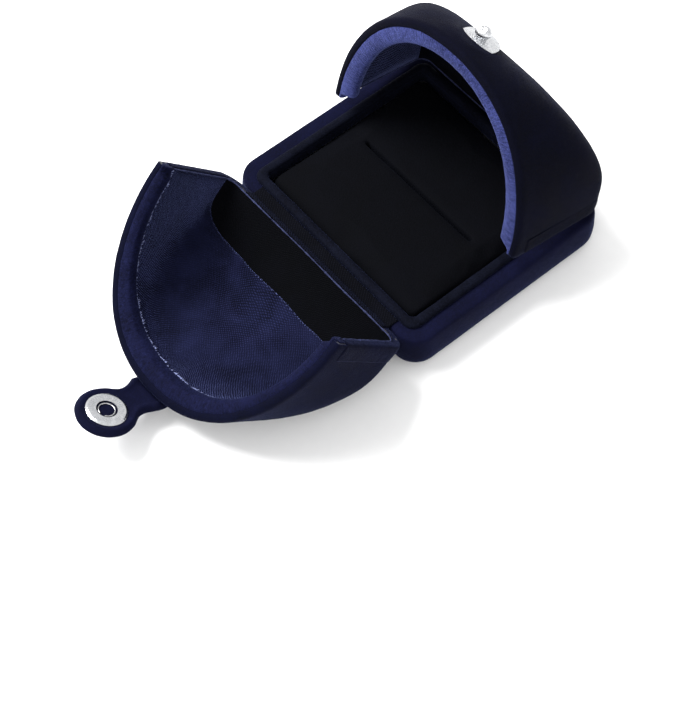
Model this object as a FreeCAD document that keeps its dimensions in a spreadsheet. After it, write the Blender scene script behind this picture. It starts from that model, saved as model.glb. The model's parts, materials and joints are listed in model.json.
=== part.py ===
import FreeCAD, Part
import math
import os

import Sketcher
from FreeCAD import Placement, Rotation, Vector

# Two-door velvet ring box. Z is up, X runs from the left hinge to the right hinge, Y runs along
# the hinges, and the origin is at the centre of the flat bottom. Sizes are in millimetres.
# The left lid is modelled lying open on the surface and the right lid leaning a little outward.

doc = FreeCAD.newDocument("ring_box")
sheet = doc.addObject("Spreadsheet::Sheet", "Sizes")

SIZES = {
    # base
    "base_width": 64.0,
    "base_depth": 70.0,
    "base_corner": 6.5,
    "base_edge": 2.5,
    "ledge_height": 11.6,
    "cover_gap": 0.2,
    "cover_skin": 0.6,
    "beyond": 10.0,
    "base_padding_x": 1.3,
    "base_padding_y": 2.6,
    "shell_wall": 1.8,
    "shell_floor": 1.8,
    "shell_edge": 1.2,
    "card_width": 47.6,
    "card_depth": 53.6,
    "card_thick": 0.8,
    "card_gap": 0.2,
    # collar that stands inside the base and locates the lids
    "collar_gap": 0.1,
    "collar_wall": 1.2,
    "collar_corner": 2.2,
    "collar_rise": 0.6,
    "collar_skirt": 4.6,
    # ring pad
    "board_gap": 0.2,
    "board_thick": 0.8,
    "foam_gap": 0.8,
    "pad_drop": 0.8,
    "pad_skin": 0.8,
    "slit_width": 2.6,
    "slit_length": 40.0,
    "slit_deep": 6.0,
    "slit_skin": 0.7,
    # lids
    "hinge_span": 65.0,
    "hinge_height": 12.1,
    "lid_length": 32.3,
    "lid_half_width": 33.8,
    "lid_height": 42.9,
    "lid_end_height": 3.5,
    "lid_end_drop": 1.5,
    "lid_corner": 6.5,
    "lid_corner_drop": 4.0,
    "crown_power": 1.65,
    "arch_power": 2.15,
    "arch_power_gain": 3.5,
    "wall_top": 6.0,
    "wall_side": 3.0,
    "wall_end": 3.8,
    "rim_width": 3.6,
    "rim_skin": 0.8,
    "liner_seam": 26.3,
    "left_open": 131.6,
    "right_lean": 11.0,
    # hinge tapes
    "tape_thick": 0.22,
    "tape_length": 52.0,
    "tape_width": 2.9,
    "tape_inset": 0.15,
    # strap and snap
    "strap_thick": 1.6,
    "strap_bend_radius": 12.0,
    "strap_bend": 14.0,
    "strap_root_width": 11.0,
    "strap_neck_width": 8.8,
    "strap_end_radius": 7.4,
    "strap_flex": 41.5,
    "strap_back": 1.4,
    "core_thick": 0.5,
    "core_inset": 1.1,
    "anchor_length": 4.4,
    "anchor_thick": 2.0,
    "anchor_gap": 1.0,
    "stud_reach": 9.2,
    "stud_flange": 5.1,
    "stud_post": 1.5,
    "stud_head": 2.1,
    "snap_stack": 2.2,
    "socket_radius": 5.1,
    "socket_bore": 2.6,
    "barrel_wall": 0.5,
}
for row, (alias, value) in enumerate(SIZES.items(), start=1):
    sheet.set(f"A{row}", alias)
    sheet.set(f"B{row}", str(value))
    sheet.setAlias(f"B{row}", alias)
doc.recompute()


def size(alias):
    """The value of one cell of the sheet."""
    return float(sheet.get(alias))


def bind(obj, prop, formula):
    """Ties a property to the sheet; names of cells in the formula get the sheet's prefix."""
    words = []
    for word in formula.split():
        words.append(f"Sizes.{word}" if word in SIZES else word)
    obj.setExpression(prop, " ".join(words))


# ---------------------------------------------------------------- PartDesign helpers


def new_body(label):
    body = doc.addObject("PartDesign::Body", label)
    body.Label = label
    return body


def plane_of(body, role):
    return next(f for f in body.Origin.OriginFeatures if f.Role == role)


def rectangle(body, name, width, depth, height):
    """A centred rectangle sketched on a level plane at the given height; sizes are formulas."""
    sketch = body.newObject("Sketcher::SketchObject", name)
    sketch.AttachmentSupport = [(plane_of(body, "XY_Plane"), "")]
    sketch.MapMode = "FlatFace"
    bind(sketch, "AttachmentOffset.Base.z", height)
    corners = [Vector(-9, -9, 0), Vector(9, -9, 0), Vector(9, 9, 0), Vector(-9, 9, 0)]
    for start, end in zip(corners, corners[1:] + corners[:1]):
        sketch.addGeometry(Part.LineSegment(start, end), False)
    for side in range(4):
        sketch.addConstraint(Sketcher.Constraint("Coincident", side, 2, (side + 1) % 4, 1))
    for side, kind in enumerate(("Horizontal", "Vertical", "Horizontal", "Vertical")):
        sketch.addConstraint(Sketcher.Constraint(kind, side))
    sketch.addConstraint(Sketcher.Constraint("Symmetric", 0, 1, 2, 1, -1, 1))
    across = sketch.addConstraint(Sketcher.Constraint("DistanceX", 0, 1, 0, 2, 18.0))
    along = sketch.addConstraint(Sketcher.Constraint("DistanceY", 1, 1, 1, 2, 18.0))
    bind(sketch, f"Constraints[{across}]", width)
    bind(sketch, f"Constraints[{along}]", depth)
    return sketch


def pad(body, sketch, length, downward=False):
    feature = body.newObject("PartDesign::Pad", sketch.Name + "_pad")
    feature.Profile = sketch
    feature.Reversed = downward
    bind(feature, "Length", length)
    doc.recompute()
    return feature


def pocket(body, sketch, depth):
    """Cuts downward from the sketch."""
    before = body.Shape.Volume
    feature = body.newObject("PartDesign::Pocket", sketch.Name + "_pocket")
    feature.Profile = sketch
    bind(feature, "Length", depth)
    doc.recompute()
    assert body.Shape.Volume < before - 0.01, f"{sketch.Name} cuts nothing"
    return feature


TINY = 1e-6


def is_upright(edge):
    box = edge.BoundBox
    return box.XLength < TINY and box.YLength < TINY and box.ZLength > TINY


def lies_on(level):
    """A test for edges that lie in the level plane at that height."""
    def on_level(edge):
        return edge.BoundBox.ZMax < level + TINY
    return on_level


def round_edges(body, base, name, radius, wanted):
    edges = [f"Edge{i}" for i, e in enumerate(base.Shape.Edges, start=1) if wanted(e)]
    feature = body.newObject("PartDesign::Fillet", name)
    feature.Base = (base, edges)
    bind(feature, "Radius", radius)
    doc.recompute()
    return feature


def block(label, width, depth, low, height, corner=None, bottom_edge=None):
    """A level block with rounded upright corners and, where asked, a rounded bottom edge."""
    body = new_body(label)
    feature = pad(body, rectangle(body, label + "_plan", width, depth, low), height)
    if corner:
        feature = round_edges(body, feature, label + "_corner", corner, is_upright)
    if bottom_edge:
        round_edges(body, feature, label + "_edge", bottom_edge, lies_on(feature.Shape.BoundBox.ZMin))
    return body


def cut(label, base, tool):
    feature = doc.addObject("Part::Cut", label)
    feature.Label = label
    feature.Base = base
    feature.Tool = tool
    doc.recompute()
    return feature


def fuse(label, *shapes):
    feature = doc.addObject("Part::MultiFuse", label)
    feature.Label = label
    feature.Shapes = list(shapes)
    doc.recompute()
    return feature


def solid_feature(label, shape, placement=None):
    """A sub-part whose shape is made by the formulas below."""
    feature = doc.addObject("Part::Feature", label)
    feature.Label = label
    feature.Shape = shape
    if placement:
        feature.Placement = placement
    return feature


nodes = []


def node(obj):
    nodes.append(obj)
    return obj


# ---------------------------------------------------------------- base

SHELL_X = "( base_width - 2 * cover_skin - 2 * base_padding_x )"
SHELL_Y = "( base_depth - 2 * cover_skin - 2 * base_padding_y )"
WELL_X = f"( {SHELL_X} - 2 * shell_wall )"
WELL_Y = f"( {SHELL_Y} - 2 * shell_wall )"
COLLAR_X = f"( {WELL_X} - 2 * collar_gap )"
COLLAR_Y = f"( {WELL_Y} - 2 * collar_gap )"
SHELL_LOW = "( cover_gap + cover_skin )"
SHELL_HIGH = "( ledge_height - cover_skin )"
SHELL_TALL = f"( {SHELL_HIGH} - {SHELL_LOW} )"
FLOOR = f"( {SHELL_LOW} + shell_floor )"


def make_base_shell():
    body = block(
        "base_shell", SHELL_X, SHELL_Y, SHELL_LOW, SHELL_TALL, "base_corner / 2", "shell_edge")
    well = rectangle(body, "base_well", WELL_X, WELL_Y, SHELL_HIGH)
    pocket(body, well, f"{SHELL_TALL} - shell_floor")
    return node(body)


def padding_outline(label):
    """The outside of the padding, which is the inside of the velvet."""
    width, depth = "base_width - 2 * cover_skin", "base_depth - 2 * cover_skin"
    corner, edge = "base_corner - cover_skin", "base_edge - cover_skin"
    return block(label, width, depth, SHELL_LOW, SHELL_TALL, corner, edge)


def make_base_padding():
    core = block("padding_core", SHELL_X, SHELL_Y, "0", "base_depth", "base_corner / 2")
    return node(cut("base_padding", padding_outline("padding_outer"), core))


def make_base_cover():
    height = "ledge_height - cover_gap"
    skin = block(
        "cover_outer", "base_width", "base_depth", "cover_gap", height, "base_corner", "base_edge")
    mouth = block("cover_mouth", WELL_X, WELL_Y, "ledge_height / 2", "base_depth")
    under = block(
        "cover_under", "card_width + 2 * card_gap", "card_depth + 2 * card_gap",
        "card_thick - beyond / 2", "beyond")
    holes = fuse("cover_holes", padding_outline("cover_inner"), mouth, under)
    return node(cut("base_cover", skin, holes))


def make_bottom_card():
    return node(block("bottom_card", "card_width", "card_depth", "0", "card_thick"))


def make_collar():
    tall = f"ledge_height + collar_rise - {FLOOR}"
    body = block("collar", COLLAR_X, COLLAR_Y, FLOOR, tall, "collar_corner")
    inside = rectangle(
        body, "collar_inside", f"{COLLAR_X} - 2 * collar_wall", f"{COLLAR_Y} - 2 * collar_wall",
        "ledge_height + collar_rise")
    pocket(body, inside, f"{tall} + beyond")
    return node(body)


def make_collar_cover(collar):
    """Velvet folded over the collar: outside down to the ledge, inside down to the pad."""
    top = "( collar_rise + cover_skin )"
    outer = block(
        "lip_outer", f"{COLLAR_X} + 2 * cover_skin", f"{COLLAR_Y} + 2 * cover_skin",
        "ledge_height", top, "collar_corner + cover_skin")
    skirt = block(
        "lip_skirt", f"{COLLAR_X} - 2 * collar_wall", f"{COLLAR_Y} - 2 * collar_wall",
        "ledge_height - collar_skirt", "collar_skirt")
    inner = block(
        "lip_inner", f"{COLLAR_X} - 2 * collar_wall - 2 * cover_skin",
        f"{COLLAR_Y} - 2 * collar_wall - 2 * cover_skin", "0", "base_depth")
    return node(cut("collar_cover", fuse("lip", outer, skirt), fuse("lip_void", inner, collar)))


BOARD_X = f"( {COLLAR_X} - 2 * collar_wall - 2 * board_gap )"
BOARD_Y = f"( {COLLAR_Y} - 2 * collar_wall - 2 * board_gap )"
FOAM_X = f"( {COLLAR_X} - 2 * collar_wall - 2 * cover_skin - 2 * foam_gap )"
FOAM_Y = f"( {COLLAR_Y} - 2 * collar_wall - 2 * cover_skin - 2 * foam_gap )"
FOAM_LOW = f"( {FLOOR} + board_thick )"
PAD_TOP = "( ledge_height + collar_rise + cover_skin - pad_drop )"
FOAM_HIGH = f"( {PAD_TOP} - pad_skin )"


def make_pad_board():
    return node(block("pad_board", BOARD_X, BOARD_Y, FLOOR, "board_thick"))


def make_pad_foam():
    body = block("pad_foam", FOAM_X, FOAM_Y, FOAM_LOW, f"{FOAM_HIGH} - {FOAM_LOW}")
    pocket(body, rectangle(body, "foam_slit", "slit_width", "slit_length", FOAM_HIGH), "slit_deep")
    return node(body)


def make_pad_cover():
    """Velvet over the foam, tucked down into the ring slit."""
    wide, long = f"{FOAM_X} + foam_gap", f"{FOAM_Y} + foam_gap"
    body = block("pad_cover", wide, long, FOAM_HIGH, "pad_skin")
    pad(body, rectangle(body, "tuck", "slit_width", "slit_length", FOAM_HIGH), "slit_deep", True)
    opening = rectangle(
        body, "slit", "slit_width - 2 * slit_skin", "slit_length - 2 * slit_skin", PAD_TOP)
    pocket(body, opening, "pad_skin + slit_deep - slit_skin")
    return node(body)


def make_base_leaf(label, side):
    """The half of a hinge tape that is glued to the base's ledge."""
    body = block(label, "tape_width", "tape_length", "0", "tape_thick")
    bind(body, "Placement.Base.x", f"{side} * ( base_width / 2 - tape_width / 2 - tape_inset )")
    bind(body, "Placement.Base.z", "ledge_height")
    return node(body)


# ---------------------------------------------------------------- lids
# A lid's own frame has its origin on the hinge line, X toward the rim and Z up when the lid is shut.
# "depth" says how far a surface lies into the wall: 0 is the outside and 1 is the inside of the rim.

COVER_DEPTH, PADDING_DEPTH, SHELL_DEPTH, LINER_DEPTH, RIM_DEPTH = 0.14, 0.34, 0.62, 0.8, 1.0
SECTIONS = [0, 15, 30, 42, 54, 64, 73, 81, 90]
ARCH_POINTS = 25

LENGTH = size("lid_length")
HINGE_X = size("hinge_span") / 2
HINGE_Z = size("hinge_height")
FAR = 90.0


def crown(run, depth):
    """Height of the dome's ridge at a distance back from the rim."""
    top = size("lid_height") - depth * size("wall_top")
    end = size("lid_end_height") - depth * size("lid_end_drop")
    part = min(max(run / (LENGTH - depth * size("wall_end")), 0.0), 1.0)
    power = size("crown_power")
    return end + (top - end) * (1 - part ** power) ** (1 / power)


def arch(run, depth):
    """One closed section of the dome: a superellipse that gets squarer toward the hinge."""
    reach = LENGTH - depth * size("wall_end")
    corner = size("lid_corner") - depth * size("lid_corner_drop")
    half = size("lid_half_width") - depth * size("wall_side")
    into_corner = max(run - (reach - corner), 0.0)
    half -= corner - math.sqrt(max(corner ** 2 - into_corner ** 2, 0.0))
    power = size("arch_power") + size("arch_power_gain") * (run / reach) ** 2
    height = crown(run, depth)
    x = LENGTH - run
    points = []
    for i in range(ARCH_POINTS):
        turn = math.pi * i / (ARCH_POINTS - 1)
        across = math.copysign(abs(math.cos(turn)) ** (2 / power), math.cos(turn))
        rise = max(math.sin(turn), 0.0) ** (2 / power)
        points.append(Vector(x, half * across, height * rise))
    points[0] = Vector(x, half, 0)
    points[-1] = Vector(x, -half, 0)
    curve = Part.BSplineCurve()
    curve.interpolate(points)
    return Part.Wire([curve.toShape(), Part.LineSegment(points[-1], points[0]).toShape()])


def dome(depth):
    """The solid under one surface of the lid."""
    reach = LENGTH - depth * size("wall_end")
    wires = [arch(reach * math.sin(math.radians(angle)), depth) for angle in SECTIONS]
    return Part.makeLoft(wires, True, False)


def slab(low, high):
    """Everything between two distances from the hinge line."""
    return Part.makeBox(high - low, 2 * FAR, 2 * FAR, Vector(low, -FAR, -FAR))


RIM_START = LENGTH - size("rim_width")
DOMES = {}
for surface in (0, COVER_DEPTH, PADDING_DEPTH, SHELL_DEPTH, LINER_DEPTH, RIM_DEPTH):
    DOMES[surface] = dome(surface)


def layer(outer, inner, low=-LENGTH, high=RIM_START):
    """The part of the wall between two surfaces, between two distances from the hinge line."""
    return DOMES[outer].cut(DOMES[inner]).common(slab(low, high))


def rim_core():
    skin = size("rim_skin")
    return layer(COVER_DEPTH, LINER_DEPTH, RIM_START, LENGTH - skin)


TILT = math.radians(size("strap_bend"))
STUD_PLACE = Placement(
    Vector(LENGTH - size("stud_reach"), 0, crown(size("stud_reach"), 0)),
    Rotation(Vector(0, 1, 0), -size("strap_bend")))
FLANGE_LOW, FLANGE_HIGH = -0.2, 0.3
NECK_HIGH = 0.55
HEAD_MID, HEAD_HALF = 2.6, 1.6
POST_LOW = -4.9
PLATE_LOW, PLATE_HIGH, PLATE_RADIUS = -4.9, -4.3, 3.6
SHOULDER = 0.6
EASE = 0.1
SOCKET_EASE = 0.4
ABOVE = 6.0


def up(radius, low, high):
    """A cylinder about Z between two heights."""
    return Part.makeCylinder(radius, high - low, Vector(0, 0, low))


def stud_clearance():
    """Room for the stud's flange, its post, the plate behind the wall and the shut socket."""
    room = up(size("stud_flange") + EASE, FLANGE_LOW, ABOVE)
    room = room.fuse(up(size("socket_radius") + SOCKET_EASE, NECK_HIGH - EASE, ABOVE))
    room = room.fuse(up(size("stud_post") + EASE, POST_LOW, 0.0))
    room = room.fuse(up(PLATE_RADIUS + EASE, PLATE_LOW - EASE, PLATE_HIGH))
    room.Placement = STUD_PLACE
    return room


def lid_layers(with_stud):
    """The shapes of one lid's pieces, shut, in the lid's own frame."""
    seam = LENGTH - size("liner_seam")
    pieces = {
        "lid_cover": layer(0, COVER_DEPTH),
        "lid_padding": layer(COVER_DEPTH, PADDING_DEPTH),
        "lid_shell": layer(PADDING_DEPTH, SHELL_DEPTH),
        "lid_liner": layer(SHELL_DEPTH, LINER_DEPTH, seam, RIM_START),
        "lid_end_liner": layer(SHELL_DEPTH, LINER_DEPTH, -LENGTH, seam),
        "lid_rim": layer(0, RIM_DEPTH, RIM_START, LENGTH).cut(rim_core()),
        "lid_rim_core": rim_core(),
    }
    if with_stud:
        room = stud_clearance()
        for name in ("lid_cover", "lid_padding", "lid_shell", "lid_liner"):
            pieces[name] = pieces[name].cut(room)
    thick, width, length = size("tape_thick"), size("tape_width"), size("tape_length")
    corner = Vector(size("tape_inset"), -length / 2, -thick)
    pieces["hinge_lid_leaf"] = Part.makeBox(width, length, thick, corner)
    return pieces


LEFT_LID = Placement(Vector(-HINGE_X, 0, HINGE_Z), Rotation(Vector(0, 1, 0), -size("left_open")))
RIGHT_LID = Placement(
    Vector(HINGE_X, 0, HINGE_Z),
    Rotation(Vector(0, 1, 0), size("right_lean")) * Rotation(Vector(0, 0, 1), 180))


def make_lid(side, placement, with_stud):
    for name, shape in lid_layers(with_stud).items():
        node(solid_feature(f"{side}_{name}", shape.removeSplitter(), placement))


# ---------------------------------------------------------------- snap stud on the right lid


def revolved(points):
    """A solid turned about Z from an outline of (radius, height) points."""
    corners = [Vector(r, 0, z) for r, z in points]
    face = Part.Face(Part.makePolygon(corners + corners[:1]))
    return face.revolve(Vector(0, 0, 0), Vector(0, 0, 1), 360)


def make_stud():
    flange, post, head = size("stud_flange"), size("stud_post"), size("stud_head")
    plate = revolved([
        (0, FLANGE_LOW), (flange, FLANGE_LOW), (flange, FLANGE_HIGH), (post + SHOULDER, NECK_HIGH),
        (0, NECK_HIGH)])
    ball = Part.makeSphere(head)
    squash = FreeCAD.Matrix()
    squash.scale(1.0, 1.0, HEAD_HALF / head)
    ball = ball.transformGeometry(squash)
    ball.translate(Vector(0, 0, HEAD_MID))
    shank = up(post, POST_LOW, HEAD_MID)
    stud = plate.fuse([shank, ball]).removeSplitter()
    node(solid_feature("snap_stud", stud, RIGHT_LID * STUD_PLACE))
    hole = up(post, PLATE_LOW - EASE, PLATE_HIGH + EASE)
    washer = up(PLATE_RADIUS, PLATE_LOW, PLATE_HIGH).cut(hole)
    node(solid_feature("snap_backplate", washer, RIGHT_LID * STUD_PLACE))


# ---------------------------------------------------------------- strap
# The strap's own frame has its origin where the strap flexes, X along the strap and Z up, as it
# lies when it is snapped to the stud. It runs level, bends by strap_bend, and is straight after.

BEND_R = size("strap_bend_radius")
HALF_STRAP = size("strap_thick") / 2
BEND_RUN = BEND_R * math.sin(TILT)
BEND_FALL = BEND_R * (1 - math.cos(TILT))
RIM_GAP = HINGE_X - LENGTH
# where the stud's axis leaves the shut right lid, seen from the shut left lid's frame
STUD_X = LENGTH + 2 * RIM_GAP + size("stud_reach")
STUD_Z = crown(size("stud_reach"), 0)
SOCKET_X = STUD_X + size("snap_stack") * math.sin(TILT)
SOCKET_Z = STUD_Z + size("snap_stack") * math.cos(TILT)
PIVOT_X = LENGTH - size("strap_back")
STRAIGHT = (SOCKET_X - PIVOT_X - BEND_RUN) / math.cos(TILT)
PIVOT_Z = SOCKET_Z + BEND_FALL + STRAIGHT * math.sin(TILT)
TIP = STRAIGHT + size("strap_end_radius")

STRAP = LEFT_LID * Placement(
    Vector(PIVOT_X, 0, PIVOT_Z), Rotation(Vector(0, 1, 0), -size("strap_flex")))
SOCKET = Placement(
    Vector(SOCKET_X - PIVOT_X, 0, SOCKET_Z - PIVOT_Z), Rotation(Vector(0, 1, 0), size("strap_bend")))


def bent_band(half_thick, run, width):
    """A strip that follows the strap's bend, from the pivot to a distance along the straight."""
    centre = Vector(0, -width / 2, -BEND_R)

    def on_arc(radius, angle):
        return centre + Vector(radius * math.sin(angle), 0, radius * math.cos(angle))

    along = Vector(math.cos(TILT), 0, -math.sin(TILT)) * run
    outer, inner = BEND_R + half_thick, BEND_R - half_thick
    top = Part.Arc(on_arc(outer, 0), on_arc(outer, TILT / 2), on_arc(outer, TILT)).toShape()
    low = Part.Arc(on_arc(inner, TILT), on_arc(inner, TILT / 2), on_arc(inner, 0)).toShape()
    corners = [on_arc(outer, TILT), on_arc(outer, TILT) + along, on_arc(inner, TILT) + along,
               on_arc(inner, TILT)]
    straights = [Part.makeLine(a, b) for a, b in zip(corners, corners[1:])]
    close = Part.makeLine(on_arc(inner, 0), on_arc(outer, 0))
    face = Part.Face(Part.Wire([top] + straights + [low, close]))
    return face.extrude(Vector(0, width, 0))


WAIST_X = 2.2
ROUND_FROM = math.radians(40)
INSET_START = 0.6


def strap_outline(inset):
    """The strap seen from above: a waisted neck that runs into a round end."""
    root = size("strap_root_width") / 2 - inset
    neck = size("strap_neck_width") / 2 - inset
    radius = size("strap_end_radius") - inset
    centre = SOCKET_X - PIVOT_X
    meet_x, meet_y = centre - radius * math.cos(ROUND_FROM), radius * math.sin(ROUND_FROM)
    first, waist, meet = [
        (Vector(x, y, 0), Vector(x, -y, 0))
        for x, y in ((inset * INSET_START, root), (WAIST_X, neck), (meet_x, meet_y))]
    side = Part.Arc(first[0], waist[0], meet[0]).toShape()
    end = Part.Arc(meet[0], Vector(centre + radius, 0, 0), meet[1]).toShape()
    back = Part.Arc(meet[1], waist[1], first[1]).toShape()
    face = Part.Face(Part.Wire([side, end, back, Part.makeLine(first[1], first[0])]))
    face.translate(Vector(0, 0, -FAR / 2))
    return face.extrude(Vector(0, 0, FAR))


def make_strap():
    wide = 4 * size("strap_end_radius")
    band = bent_band(HALF_STRAP, 2 * TIP, wide).common(strap_outline(0.0))
    core = bent_band(size("core_thick") / 2, 2 * TIP, wide)
    core = core.common(strap_outline(size("core_inset")))
    hole = up(size("socket_bore") + size("barrel_wall") + EASE, -ABOVE, ABOVE)
    hole.Placement = SOCKET
    node(solid_feature("strap_cover", band.cut(core).cut(hole), STRAP))
    node(solid_feature("strap_core", core.cut(hole), STRAP))


def make_strap_anchor():
    """The strap's sewn end, which follows the left lid's crown."""
    high = -size("anchor_thick") / size("wall_top")
    end = PIVOT_X - size("anchor_gap")
    wide = size("strap_root_width")
    strip = dome(high).cut(DOMES[0])
    corner = Vector(end - size("anchor_length"), -wide / 2, size("lid_end_height"))
    box = Part.makeBox(size("anchor_length"), wide, FAR, corner)
    node(solid_feature("strap_anchor", strip.common(box), LEFT_LID))


SOCKET_LOW = -HALF_STRAP - 0.6
SOCKET_BEVEL_RUN, SOCKET_BEVEL_RISE = 0.5, 0.25
SPRING_WIRE = 0.2
SPRING_RING = 2.0
SPRING_TAIL = 0.5
SPRING_SWEEP = 320
SPRING_LEVEL = SOCKET_LOW + 0.35
CAP_HIGH = 1.9
CAP_WALL = 0.4
CAP_INSET = 0.2
CAP_SHOULDER, CAP_SHOULDER_RISE = 0.7, 1.1


def make_snap_socket():
    bore, wall = size("socket_bore"), size("barrel_wall")
    rim = size("socket_radius")
    low = SOCKET_LOW
    ring = revolved([
        (bore, low), (rim - SOCKET_BEVEL_RUN, low), (rim, low + SOCKET_BEVEL_RISE), (rim, -HALF_STRAP),
        (bore + wall, -HALF_STRAP), (bore + wall, HALF_STRAP), (bore, HALF_STRAP)])
    node(solid_feature("snap_socket", ring, STRAP * SOCKET))


def make_snap_spring():
    """A split wire ring inside the socket, which grips under the stud's head."""
    centre, axis = Vector(0, 0, SPRING_LEVEL), Vector(0, 0, 1)
    ring = Part.makeTorus(SPRING_RING, SPRING_WIRE, centre, axis, 0, 360, SPRING_SWEEP)
    start = Vector(SPRING_RING, 0, SPRING_LEVEL)
    tail = Part.makeCylinder(SPRING_WIRE, SPRING_TAIL, start, Vector(1, 0, 0))
    node(solid_feature("snap_spring", ring.fuse(tail), STRAP * SOCKET))


def make_snap_cap():
    """The domed cap on the strap's other face; the stud's head ends inside it."""
    bore = size("socket_bore")
    rim = size("socket_radius") - CAP_INSET
    low, high = HALF_STRAP, HALF_STRAP + CAP_HIGH
    cap = revolved([
        (0, high - CAP_WALL), (bore, high - CAP_WALL), (bore, low), (rim, low), (rim, low + CAP_WALL),
        (rim - CAP_SHOULDER, low + CAP_SHOULDER_RISE), (bore + CAP_WALL, high - CAP_INSET), (0, high)])
    node(solid_feature("snap_cap", cap, STRAP * SOCKET))


# ---------------------------------------------------------------- build and write

make_base_shell()
make_base_padding()
make_base_cover()
make_bottom_card()
make_collar_cover(make_collar())
make_pad_board()
make_pad_foam()
make_pad_cover()
make_base_leaf("left_hinge_base_leaf", "-1")
make_base_leaf("right_hinge_base_leaf", "1")
make_lid("left", LEFT_LID, False)
make_lid("right", RIGHT_LID, True)
make_stud()
make_strap()
make_strap_anchor()
make_snap_socket()
make_snap_spring()
make_snap_cap()

doc.recompute()
for obj in doc.Objects:
    assert "Invalid" not in obj.State and "Error" not in obj.State, f"{obj.Label}: {obj.State}"
for obj in nodes:
    assert not obj.Shape.isNull() and obj.Shape.isValid(), f"{obj.Label} is not a sound shape"
os.makedirs("parts", exist_ok=True)
for obj in nodes:
    obj.Shape.exportStep(f"parts/{obj.Label}.step")
    box = obj.Shape.BoundBox
    print(f"{obj.Label:24s} solids {len(obj.Shape.Solids)} volume {obj.Shape.Volume:9.1f} "
          f"z {box.ZMin:7.2f} to {box.ZMax:6.2f}")
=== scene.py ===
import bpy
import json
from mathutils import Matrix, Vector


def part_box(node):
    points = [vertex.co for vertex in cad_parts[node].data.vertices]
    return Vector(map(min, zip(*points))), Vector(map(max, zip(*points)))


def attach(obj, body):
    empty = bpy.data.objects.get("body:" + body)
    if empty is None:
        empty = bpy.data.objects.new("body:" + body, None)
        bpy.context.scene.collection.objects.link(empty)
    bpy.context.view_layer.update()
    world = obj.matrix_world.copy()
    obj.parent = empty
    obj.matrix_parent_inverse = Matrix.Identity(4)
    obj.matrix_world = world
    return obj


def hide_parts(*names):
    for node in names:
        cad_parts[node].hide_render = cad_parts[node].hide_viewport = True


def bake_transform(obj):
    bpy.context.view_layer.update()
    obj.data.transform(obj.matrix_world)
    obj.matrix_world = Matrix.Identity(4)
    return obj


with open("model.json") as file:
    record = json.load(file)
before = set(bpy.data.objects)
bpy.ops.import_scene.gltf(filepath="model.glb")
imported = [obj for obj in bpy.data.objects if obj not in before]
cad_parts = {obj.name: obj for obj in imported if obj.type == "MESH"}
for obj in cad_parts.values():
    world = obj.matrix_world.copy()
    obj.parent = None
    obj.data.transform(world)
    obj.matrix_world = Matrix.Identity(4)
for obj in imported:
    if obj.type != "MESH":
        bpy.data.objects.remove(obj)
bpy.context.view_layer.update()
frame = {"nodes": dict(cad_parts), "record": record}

import json
import math
import random

import bmesh
import bpy
import numpy as np
from mathutils import Matrix, Vector, noise

# Velvet ring box with two domed lids. The helpers work in millimetres in the frame of the body
# they build on, and mesh_object() turns that into metres in the shared frame.

MM = 0.001
JOINTS = {joint["name"]: joint for joint in frame["record"]["behaviour"]["joints"]}
PI = math.pi


def box_mm(node):
    low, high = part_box(node)
    return low / MM, high / MM


# ---------------------------------------------------------------- camera

CAMERA = {"azimuth": -39.51, "elevation": 58.78, "roll": -0.55, "distance": 487.2,
          "right": 19.74, "up": 34.58, "focal": 1900.0}
LONG_SIDE = 705.0
SENSOR = 36.0


def make_camera():
    azimuth, elevation, roll = (math.radians(CAMERA[k]) for k in ("azimuth", "elevation", "roll"))
    back = Vector((math.sin(azimuth) * math.cos(elevation), -math.cos(azimuth) * math.cos(elevation),
                   math.sin(elevation)))
    level = Vector((0, 0, 1)).cross(back).normalized()
    above = back.cross(level)
    right = math.cos(roll) * level + math.sin(roll) * above
    up = math.cos(roll) * above - math.sin(roll) * level
    place = back * CAMERA["distance"] - right * CAMERA["right"] - up * CAMERA["up"]
    data = bpy.data.cameras.new("camera")
    data.sensor_width = SENSOR
    data.lens = CAMERA["focal"] / LONG_SIDE * SENSOR
    data.clip_start, data.clip_end = 0.01, 20.0
    camera = bpy.data.objects.new("camera", data)
    turn = Matrix((right, up, back)).transposed().to_4x4()
    camera.matrix_world = Matrix.Translation(place * MM) @ turn
    bpy.context.scene.collection.objects.link(camera)
    bpy.context.scene.camera = camera


make_camera()


# ---------------------------------------------------------------- mesh helpers


def smooth_step(value, low, high):
    part = min(max((value - low) / (high - low), 0.0), 1.0)
    return part * part * (3 - 2 * part)


def mix(a, b, part):
    return a + (b - a) * part


def mesh_object(name, points, faces, matrix=None, corner_uv=None, merge=0.004):
    """An object from points in millimetres. corner_uv has one (u, v) in millimetres per face corner."""
    matrix = matrix or Matrix.Identity(4)
    mesh = bpy.data.meshes.new(name)
    mesh.from_pydata([matrix @ (Vector(p) * MM) for p in points], [], faces)
    if corner_uv:
        layer = mesh.uv_layers.new(name="cloth")
        for loop, uv in zip(layer.data, (uv for face in corner_uv for uv in face)):
            loop.uv = uv
    work = bmesh.new()
    work.from_mesh(mesh)
    bmesh.ops.remove_doubles(work, verts=work.verts, dist=merge * MM)
    bmesh.ops.dissolve_degenerate(work, edges=work.edges, dist=merge * MM * 0.5)
    bmesh.ops.recalc_face_normals(work, faces=work.faces)
    work.to_mesh(mesh)
    work.free()
    mesh.shade_smooth()
    obj = bpy.data.objects.new(name, mesh)
    bpy.context.scene.collection.objects.link(obj)
    return obj


def lengths(points):
    total, out = 0.0, [0.0]
    for a, b in zip(points, points[1:]):
        total += (Vector(b) - Vector(a)).length
        out.append(total)
    return out


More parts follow.
